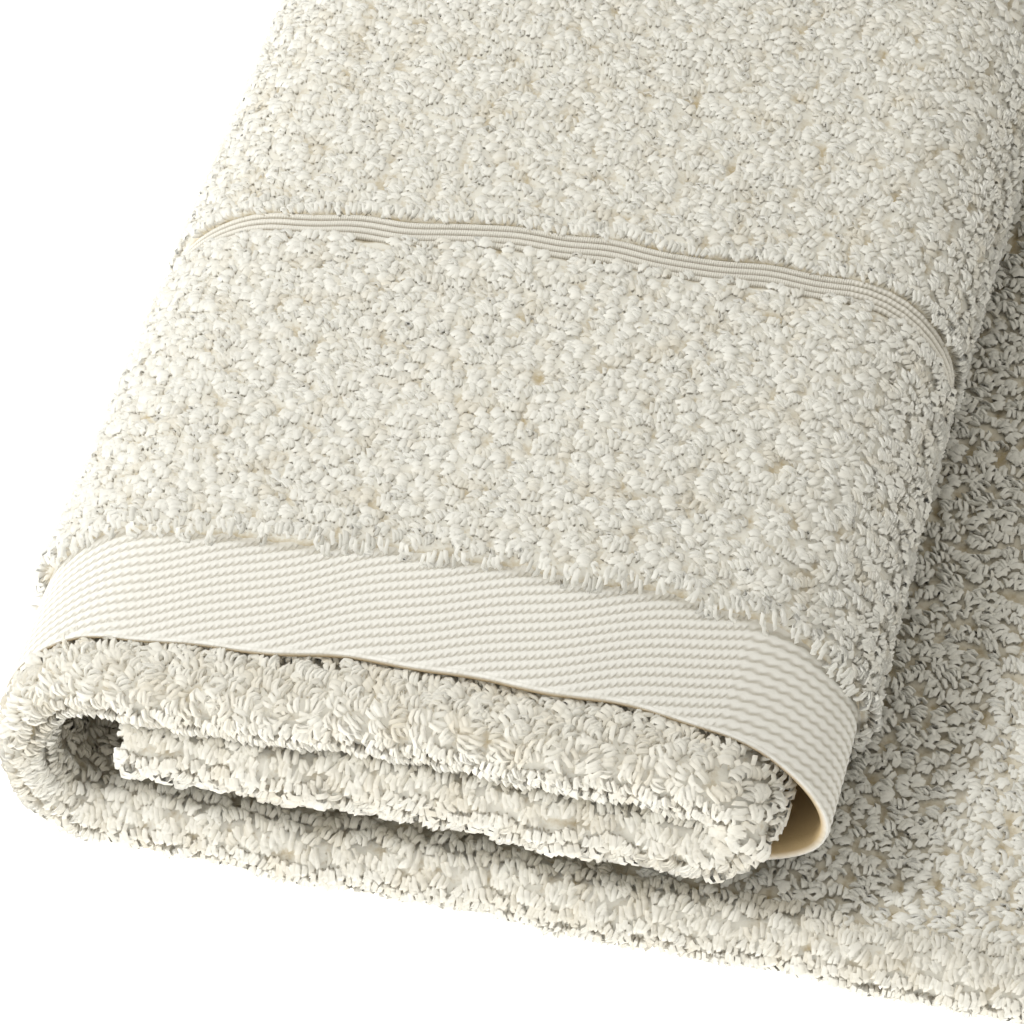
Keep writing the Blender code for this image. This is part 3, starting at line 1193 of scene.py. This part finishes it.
@dataclass
class Cloth:
    """The woven parts of the towel: its ground, hems and borders, and the beds of its loops.

    Names that end in step or steps are the spacings of the points that a face is made of.
    """

    towel: FoldedTowel
    outside: Tufts
    crests: Tufts
    opened: Tufts
    ground_half: float = 0.3 * MM
    pile_half: float = 1.8 * MM
    ground_in_band: float = 0.2 * MM
    ground_ease: float = 4 * MM
    ground_shut: float = 0.4
    thin_before_fold: float = 10 * MM
    thin_before_open: float = 14 * MM
    ground_inset: float = 0.5 * MM
    ply_step: float = 9 * MM
    turn_steps: tuple[float, float] = (3.0 * MM, 3.6 * MM)
    fold_step: float = 1.2 * MM
    sill_step: float = 0.4 * MM
    sill_reach: float = 1.4 * MM
    sill_clear: float = 1.2 * MM
    border_sill_step: float = 0.6 * MM
    coarse: float = 6.0 * MM
    fine: float = 1.1 * MM
    finer_open: float = 0.8
    far_times: float = 3.0
    crest_reach: float = 9 * MM
    crest_ends: float = 2 * MM
    open_reach: float = 12 * MM
    hem_rise_from: float = 0.25
    bed_ease: float = 0.55
    hem_half: float = 0.55 * MM
    hem_low: float = 0.3 * MM
    hem_bead: float = 0.72 * MM
    hem_bead_width: float = 0.8 * MM
    hem_bead_floor: float = 0.3
    bead_fades: tuple[float, float] = (0.7, 0.5)
    hem_edge: float = 1.6 * MM
    hem_steps: tuple[float, float] = (0.16 * MM, 0.28 * MM)
    far_hem_steps: tuple[float, float] = (0.4 * MM, 0.48 * MM)
    plain_hem_step: float = 2.6 * MM
    plain_hem_from: float = 0.3 * MM
    hem_across_step: float = 0.8 * MM
    ridge: float = 0.34 * MM
    ridge_power: float = 0.9
    ridge_pitch: float = 2.05 * MM
    ridge_slope: float = 0.40
    rib_edges: tuple[float, ...] = (0.0, 1.4 * MM, 2.85 * MM, 4.3 * MM, 5.8 * MM)
    rib_low: float = 0.55 * MM
    rib_high: float = 1.25 * MM
    rib_wobble: tuple[Wave, ...] = (Wave(0.00020, 0.041, 0.3), Wave(0.00014, 0.013, 2.0))
    rib_fall: float = 1.2
    rib_inset: float = 0.8 * MM
    rib_step: float = 0.19 * MM
    rib_across_step: float = 1.4 * MM
    plain_rib_step: float = 1.5 * MM
    plain_rib_inset: float = 0.2 * MM
    open_across_step: float = 2.0 * MM
    open_margin: float = 5 * MM
    tuck: float = 0.9 * MM

    def twill(self, across: Array, from_end: Array) -> Array:
        """The hem's face: a round bead at its edge, then slanting ridges.

        A ridge is a power of the sine of the distance down plus a share of the distance across,
        in pitches. The bead is half an ellipse with a blunt edge.

        Args:
            across: Distances across the towel.
            from_end: Distances from its end.

        Returns:
            The height out of the middle of the cloth at each point.
        """
        phase = (from_end + self.ridge_slope * across) / self.ridge_pitch
        ridges = self.hem_half + self.ridge * np.abs(np.sin(pi * phase)) ** self.ridge_power
        width, (fades_from, fades_over) = self.hem_bead_width, self.bead_fades
        share = np.clip(from_end / width, 0, 1)
        bead = self.hem_bead * np.sqrt(np.clip(1 - (2 * share - 1) ** 2, self.hem_bead_floor, 1))
        past = smooth((from_end - fades_from * width) / (fades_over * width))
        return bead * (1 - past) + ridges * past

    def ribs(self, across: Array, from_end: Array) -> Array:
        """The border's face: round ribs side by side, each a parabola over its own width.

        Past the outer ribs the face falls in a straight slope, under the loops.

        Args:
            across: Distances across the towel.
            from_end: Distances from its end.

        Returns:
            The height out of the middle of the cloth at each point.
        """
        wobble = sum(wave.at(across, 0) for wave in self.rib_wobble)
        at = from_end - self.towel.border_from_end + wobble
        height = np.full_like(at, self.rib_low)
        for low, high in zip(self.rib_edges[:-1], self.rib_edges[1:]):
            share = (2 * at - low - high) / (high - low)
            round_top = np.clip(1 - share**2, 0, 1)
            height = np.maximum(height, self.rib_low + (self.rib_high - self.rib_low) * round_top)
        beyond = np.clip(np.maximum(self.rib_edges[0] - at, at - self.rib_edges[-1]), 0, None)
        return height - self.rib_fall * beyond

    def _mirrored(self, relief: Callable[[Array, Array], Array]) -> Callable[[Array, Array], Array]:
        """The same relief measured from the towel's other end."""
        return lambda across, down: relief(across, self.towel.length - down)

    def bands(self) -> list[Band]:
        """The two hems and the two borders, each finest where it shows.

        Returns:
            The four bands.
        """
        towel, coarse, inset = self.towel, self.coarse, self.rib_inset
        width, length, hem_end = towel.width, towel.length, towel.hem_width + self.tuck
        turn, turned, opens = towel.right_turn_at, towel.turned_at, towel.opens_at - self.open_margin
        shown = stations((0, turn, coarse), (turn, turned, self.hem_across_step), (turned, width, coarse))
        open_end = stations((0, opens, coarse), (opens, width, self.open_across_step))
        shown_ribs = stations((inset, turn, coarse), (turn, turned, self.rib_across_step),
                              (turned, width - inset, coarse))
        open_ribs = stations((inset, opens, coarse), (opens, width - inset, self.open_across_step))
        hem, far_hem = (
            stations((0, self.hem_edge, edge), (self.hem_edge, hem_end, rest))
            for edge, rest in (self.hem_steps, self.far_hem_steps)
        )
        plain_hem = stations((self.plain_hem_from, hem_end, self.plain_hem_step))
        low, high = -self.tuck, towel.border_width + self.tuck
        border = towel.border_from_end + stations((low, high, self.rib_step))
        plain = (low + self.plain_rib_inset, high - self.plain_rib_inset, self.plain_rib_step)
        plain_border = towel.border_from_end + stations(plain)
        far_twill, far_ribs = self._mirrored(self.twill), self._mirrored(self.ribs)
        twill, ribs = (self.hem_half, self.hem_low), (self.rib_low, self.rib_low)
        return [
            Band("hem_front", towel, Face.UPPER, shown, hem, plain_hem, self.twill, *twill),
            Band("border_front", towel, Face.UPPER, shown_ribs, border, plain_border, self.ribs, *ribs),
            Band("hem_back", towel, Face.LOWER, open_end, length - far_hem[::-1],
                 length - plain_hem[::-1], far_twill, *twill),
            Band("border_back", towel, Face.LOWER, open_ribs, length - border[::-1],
                 length - plain_border[::-1], far_ribs, *ribs),
        ]

    def beds(self) -> list[Band]:
        """The domes that carry the loops, where they show best.

        Returns:
            One closed band for each bed.
        """
        towel, fine, coarse = self.towel, self.fine, self.coarse
        far, open_fine, behind = self.far_times * fine, self.finer_open * fine, self.far_times * coarse
        hem, low, high = towel.hem_width, towel.border_from_end, towel.border_end
        fold, folded = towel.front_fold_at - self.crest_reach, towel.front_folded_at
        low_end, seen = folded + self.crest_ends, folded + OPEN_SHOWN
        outside, crests, opened = self.outside, self.crests, self.opened
        top = outside.evenly(0, towel.right_turn_at, towel.turned_at, fine)
        front = outside.evenly(1, hem, low, fine)
        shown = outside.evenly(1, high, TOP_SHOWN, fine)
        unseen = outside.evenly(1, TOP_SHOWN, towel.back_folded_at, far)[1:]
        crest = crests.evenly(0, 0, towel.width, fine)
        around = crests.evenly(1, fold, low_end, fine)
        beyond = opened.evenly(0, towel.opens_at - self.open_reach, towel.width, open_fine)
        near = opened.evenly(1, low_end, seen, open_fine)
        distant = opened.evenly(1, seen, towel.length - hem, far)[1:]
        parts = (
            ("bed_front", outside, top, front, behind),
            ("bed_top", outside, top, np.concatenate([shown, unseen]), behind),
            ("bed_crest", crests, crest, around, coarse),
            ("bed_open", opened, beyond, np.concatenate([near, distant]), behind),
        )
        return [
            Band(name, towel, tufts.face, across, down, stations((down[0], down[-1], step)),
                 self._tufted(tufts), 0.0, tufts.bed)
            for name, tufts, across, down, step in parts
        ]

    def _past_bands(self, down: Array) -> tuple[Array, Array]:
        """How far places lie past the hem and past the border, in shoulders.

        Args:
            down: Distances down the towel.

        Returns:
            The two distances, which are negative in the band itself.
        """
        towel = self.towel
        from_end = np.minimum(down, towel.length - down)
        half = towel.border_width / 2
        from_middle = np.abs(from_end - towel.border_from_end - half)
        return (from_end - towel.hem_width) / towel.shoulder, (from_middle - half) / towel.shoulder

    def _tufted(self, tufts: Tufts) -> Callable[[Array, Array], Array]:
        """The domes' relief, which sinks into the cloth at the hems and borders.

        Args:
            tufts: The tufts that make the domes.

        Returns:
            The relief, as a function of the distances across and down.
        """
        def relief(across: Array, down: Array) -> Array:
            """The tufts' height, eased in with the distance past a flat band."""
            past_hem, past_border = self._past_bands(down)
            past = np.minimum(past_hem - self.hem_rise_from, past_border)
            return tufts.height(across, down) * smooth(past + self.bed_ease)

        return relief

    def _ground_relief(self, plain: Array, down: Array) -> Array:
        """Half the ground's thickness, which is least in a flat band.

        Args:
            plain: 1 where the ground stands for the whole pile, 0 where a bed does.
            down: Distances down the towel.

        Returns:
            The height out of the middle of the cloth at each point.
        """
        in_band = smooth(1 - np.minimum(*self._past_bands(down)))
        half = self.ground_half + (self.pile_half - self.ground_half) * plain
        return half + (self.ground_in_band - half) * in_band

    def _ground_outside(self, across: Array, down: Array) -> Array:
        """The ground's upper face, thin only under the beds of the bundle's outside.

        Args:
            across: Distances across the towel.
            down: Distances down it.

        Returns:
            The height out of the middle of the cloth at each point.
        """
        towel, ease = self.towel, self.ground_ease
        before = smooth((towel.right_turn_at - across) / ease)
        after = smooth((across - towel.turned_at) / ease)
        folded = smooth((down - towel.back_folded_at) / ease)
        return self._ground_relief(np.maximum(np.maximum(before, after), folded), down)

    def _ground_inside(self, across: Array, down: Array) -> Array:
        """The ground's lower face, thin under the crests and the open layer's bed.

        Args:
            across: Distances across the towel.
            down: Distances down it.

        Returns:
            The height out of the middle of the cloth at each point.
        """
        towel, ease = self.towel, self.ground_ease
        before = smooth((towel.front_fold_at - self.thin_before_fold - down) / ease)
        after = smooth((down - towel.front_folded_at - self.crest_ends) / ease)
        opens = towel.opens_at - self.thin_before_open
        shut = self.ground_shut * smooth((opens - across) / ease)
        return self._ground_relief(np.maximum(before, after * shut), down)

    @staticmethod
    def _along(sections: Sequence[Section], steps: Sequence[float]) -> Array:
        """Distances along a chain, each of its sections at a step of its own."""
        ends = np.cumsum([0.0] + [section.length for section in sections])
        return stations(*zip(ends, ends[1:], steps))

    def ground(self, material: bpy.types.Material) -> bpy.types.Object:
        """The whole sheet of ground cloth, finest at its turns, folds and flat bands.

        Args:
            material: Its finish.

        Returns:
            The closed sheet.
        """
        towel, coarse, sill, reach = self.towel, self.coarse, self.sill_step, self.sill_reach
        right, left = self.turn_steps
        across = self._along(towel.lengthwise, (coarse, right, coarse, left, coarse))
        ply, fold = self.ply_step, self.fold_step
        down = self._along(towel.crosswise, (ply, fold, ply, fold, ply))
        edge, beyond = towel.hem_width - sill, towel.hem_width + towel.shoulder + sill
        low, high, step = towel.border_from_end, towel.border_end, self.border_sill_step
        sills = stations((edge, beyond, sill), (low - reach, low + sill, step),
                         (high - sill, high + reach, step))
        down = down[np.abs(down - (edge + beyond) / 2) > self.sill_clear]
        down = np.unique(np.concatenate([down, sills, towel.length - sills]))
        down = np.clip(down, self.ground_inset, towel.length - self.ground_inset)
        band = Band("towel_ground", towel, Face.UPPER, across, down, down, self._ground_outside,
                    self.ground_in_band, relief_behind=self._ground_inside)
        return band.build(material)


@dataclass
class Room:
    """The floor, the light and the camera."""

    towel: FoldedTowel
    aim: tuple[float, float, float] = (0.0532, 0.0272, 0.0537)
    azimuth: float = 13.5
    elevation: float = 42.0
    distance: float = 1.0335
    lens: float = 249.6
    sensor: float = 36.0
    clip: tuple[float, float] = (0.05, 50.0)
    floor_size: float = 12.0
    floor_colour: Colour = (0.97, 0.97, 0.97)
    floor_roughness: float = 0.9
    key_power: float = 3.0
    key_size: float = 0.14
    key_distance: float = 0.75
    key_from: tuple[float, float, float] = (-0.64, -0.20, 0.72)
    fill_power: float = 6.0
    fill_size: float = 1.2
    fill_from: tuple[float, float, float] = (-0.45, -0.85, 0.28)
    fill_distance: float = 1.8
    sky: float = 0.69
    sky_colour: tuple[float, float, float] = (1.0, 0.965, 0.88)
    floor_glow: float = 1.1

    def camera(self) -> None:
        """Stands the camera off from its aim, at the photograph's angle."""
        data = bpy.data.cameras.new("camera")
        data.lens, data.sensor_width = self.lens, self.sensor
        data.clip_start, data.clip_end = self.clip
        turn, rise = radians(self.azimuth), radians(self.elevation)
        away = np.array([np.sin(turn) * np.cos(rise), -np.cos(turn) * np.cos(rise), np.sin(rise)])
        made = bpy.data.objects.new("camera", data)
        made.location = self.towel.shift + np.array(self.aim) + self.distance * away
        made.rotation_euler = (pi / 2 - rise, 0.0, turn)
        bpy.context.scene.collection.objects.link(made)
        bpy.context.scene.camera = made

    def _lamp(
        self, name: str, power: float, size: float, direction: Sequence[float], distance: float
    ) -> None:
        """A square soft lamp that faces the towel from a direction.

        Args:
            name: The lamp's name.
            power: Its power in watts.
            size: Its side.
            direction: From the towel to the lamp.
            distance: How far off it is.
        """
        data = bpy.data.lights.new(name, "AREA")
        data.energy, data.size, data.shape = power, size, "SQUARE"
        lamp = bpy.data.objects.new(name, data)
        away = np.array(direction) / np.linalg.norm(direction)
        lamp.location = away * distance
        turn, rise = np.arctan2(away[0], -away[1]), np.arcsin(away[2])
        lamp.rotation_euler = (pi / 2 - rise, 0.0, turn)
        bpy.context.scene.collection.objects.link(lamp)

    def light(self) -> None:
        """One soft key lamp from the left, a weak wide fill and a pale sky."""
        self._lamp("key", self.key_power, self.key_size, self.key_from, self.key_distance)
        self._lamp("fill", self.fill_power, self.fill_size, self.fill_from, self.fill_distance)
        world = bpy.data.worlds.new("studio")
        world.use_nodes = True
        back = world.node_tree.nodes["Background"]
        back.inputs["Color"].default_value = (*self.sky_colour, 1.0)
        back.inputs["Strength"].default_value = self.sky
        bpy.context.scene.world = world
        bpy.context.scene.view_settings.view_transform = "Standard"

    def floor(self) -> None:
        """A plain pale floor under the towel."""
        shader = Shader("pale_floor")
        shader.surface.inputs["Emission Color"].default_value = (1.0, 1.0, 1.0, 1.0)
        shader.surface.inputs["Emission Strength"].default_value = self.floor_glow
        material = shader.finish((*self.floor_colour, 1.0), self.floor_roughness)
        half = self.floor_size / 2
        points = np.array([[-half, -half, 0], [half, -half, 0], [half, half, 0], [-half, half, 0]])
        new_mesh("floor", points, [np.arange(4)[None, :]], material)


def zones(towel: FoldedTowel, outside: Tufts, crests: Tufts, opened: Tufts) -> dict[str, list[Zone]]:
    """The stretches of pile, by the piece that holds their loops.

    Those that the camera sees best have the most strands. Bounds are given by the towel's folds
    and bands, with a margin where loops would cross a flat band or leave a gap at a fold.

    Args:
        towel: The folded towel, whose sizes place them.
        outside: The tufts of the bundle's outside.
        crests: The tufts of its front folds.
        opened: The tufts of the open layer.

    Returns:
        A list of zones for each piece's name.
    """
    turn, left, turned = towel.right_turn_at, towel.left_turn_at, towel.turned_at
    opens, width, half_way = towel.opens_at, towel.width, (left + turned) / 2
    fold, folded, back = towel.front_fold_at, towel.front_folded_at, towel.back_folded_at
    hem, low, high = towel.hem_width + towel.shoulder, towel.border_from_end, towel.border_end
    near, seen, beyond = folded + 2 * MM, folded + OPEN_SHOWN, folded + 170 * MM
    end = towel.length - towel.hem_width - towel.shoulder
    rim, edge = (back - 14 * MM, back + 4 * MM), (width - 2.4 * MM, width)
    level = {"turned": (pi / 2 - 0.5, pi / 2 + 0.5)}
    row = level | {"row_step": 1.9, "strands": 8, "lean": (0.0, -1.0 * MM), "spread": 2.6 * MM, "fan": 0.6,
                   "height": 2.1 * MM, "yarn": 0.40 * MM, "gap": 0.48 * MM}
    low_row = row | {"lean": (0.0, -0.4 * MM), "spread": 2.2 * MM}
    sparse = {"strands": 3, "gap": 0.58 * MM, "yarn": 0.40 * MM}
    far = {"strands": 1, "yarn": 0.66 * MM, "spread": 2.5 * MM, "height": 1.5 * MM, "steps": 3}
    crest = {"height": 2.1 * MM, "gap": 0.54 * MM, "spread": 2.5 * MM, "yarn": 0.45 * MM, "steps": 5,
             "shade": 0.25}
    fringe = level | {"strands": 5, "height": 1.7 * MM, "spread": 2.4 * MM, "yarn": 0.44 * MM, "shade": 0.25}
    side = {"strands": 2, "gap": 0.8 * MM, "yarn": 0.5 * MM, "height": 0.8 * MM, "lean": (1.6 * MM, 0.0),
            "steps": 3}
    loose = {"strands": 2, "gap": 0.85 * MM, "yarn": 0.62 * MM, "spread": 2.2 * MM, "height": 1.3 * MM}
    knot = {"strands": 5, "gap": 0.49 * MM, "spread": 2.2 * MM, "fan": 0.45, "stir": 0.35, "stray": 0.2 * MM}
    return {
        "pile_front": [
            Zone("above the hem", outside, (turn, half_way), (hem + 0.3 * MM, low - 0.5 * MM)),
            Zone("hem row", outside, (turn, left + 20 * MM), (hem, hem), **row),
        ],
        "pile_top": [
            Zone("above the border", outside, (turn, half_way), (high + 1.5 * MM, TOP_SHOWN), **sparse),
            Zone("border row", outside, (turn, left + 14 * MM), (high + 0.5 * MM, high), **low_row),
        ],
        "pile_crest": [
            Zone("crest top", crests, (0, turned), (fold - 9 * MM, fold + 3 * MM), **crest),
            Zone("crest front", crests, (0, turned), (fold + 3 * MM, folded + 1 * MM), **fringe),
            Zone("crest end", crests, (0, 3 * MM), (fold - 9 * MM, folded + 5 * MM), lean=(-1.6 * MM, 0.0)),
        ],
        "pile_low": [
            Zone("low crest", crests, (turned, width), (fold - 3.5 * MM, near), **fringe),
            Zone("hollow", opened, (left - 8 * MM, turned + 10 * MM), (near, folded + 26 * MM),
                 strands=5, shade=0.7),
            Zone("under the stack", opened, (turned + 10 * MM, opens - 10 * MM), (near, folded + 28 * MM),
                 shade=0.7),
            Zone("open layer", opened, (opens - 10 * MM, opens + 52 * MM), (near, seen), **knot),
        ],
        "pile_rest": [
            Zone("far top", outside, (turn, half_way), (TOP_SHOWN, back), **far),
            Zone("left side", outside, (half_way, turned), (hem, low), **far),
            Zone("far left side", outside, (half_way, turned), (high, back), **far),
            Zone("open layer's side", opened, (opens + 52 * MM, width), (near, seen), **loose),
            Zone("open layer behind", opened, (opens - 6 * MM, opens + 30 * MM), (seen, beyond), **knot),
            Zone("far open layer", opened, (opens + 30 * MM, width), (seen, beyond), **loose),
            Zone("open layer's end", opened, (opens - 6 * MM, width), (beyond, end), **loose),
            Zone("selvedge", outside, edge, (hem, towel.length - hem), **side),
            Zone("selvedge inside", opened, edge, (hem, towel.length - hem), **side),
            Zone("back fold", outside, (0, turn), rim, **far),
            Zone("low back fold", outside, (turned, width), rim, **far),
        ],
    }


def main() -> None:
    """Builds the towel, the room and the camera, and reports each piece.

    Each face's tufts are counted along one line across the towel and one down it, which lie
    where that face shows.
    """
    logging.basicConfig(level=logging.INFO, format="%(name)s: %(message)s")
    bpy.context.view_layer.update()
    towel = FoldedTowel()
    across_top, across_crest = 60 * MM, towel.front_fold_at + 4 * MM
    middle, side = towel.left_turn_at - 40 * MM, towel.width - 20 * MM
    outside = Tufts(towel, Face.UPPER, across_top, middle)
    crests = Tufts(towel, Face.LOWER, across_crest, middle)
    opened = Tufts(towel, Face.LOWER, towel.length - 150 * MM, side, pitch=2.6 * MM, rise=1.0 * MM, swell=0.0)
    cloth = Cloth(towel, outside, crests, opened)
    ground = cloth.ground(GroundFinish().material())
    twill, ribs = TwillFinish().material(), RibFinish().material()
    pieces = [band.build(twill if band.name.startswith("hem") else ribs) for band in cloth.bands()]
    loops, domes = PileFinish().material(), BedFinish().material()
    gaps = BedFinish("cotton_knots", dome=(0.67, 0.63, 0.53)).material()
    pieces += [band.build(gaps if band.name == "bed_open" else domes) for band in cloth.beds()]
    pile = Pile(towel)
    for name, stretches in zones(towel, outside, crests, opened).items():
        for stretch in stretches:
            pile.grow(stretch)
        pieces.append(pile.build(name, loops))
    for piece in [ground, *pieces]:
        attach(piece, BODY)
    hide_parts(NODE)
    room = Room(towel)
    room.floor()
    room.light()
    room.camera()


if __name__ == "__main__":
    main()
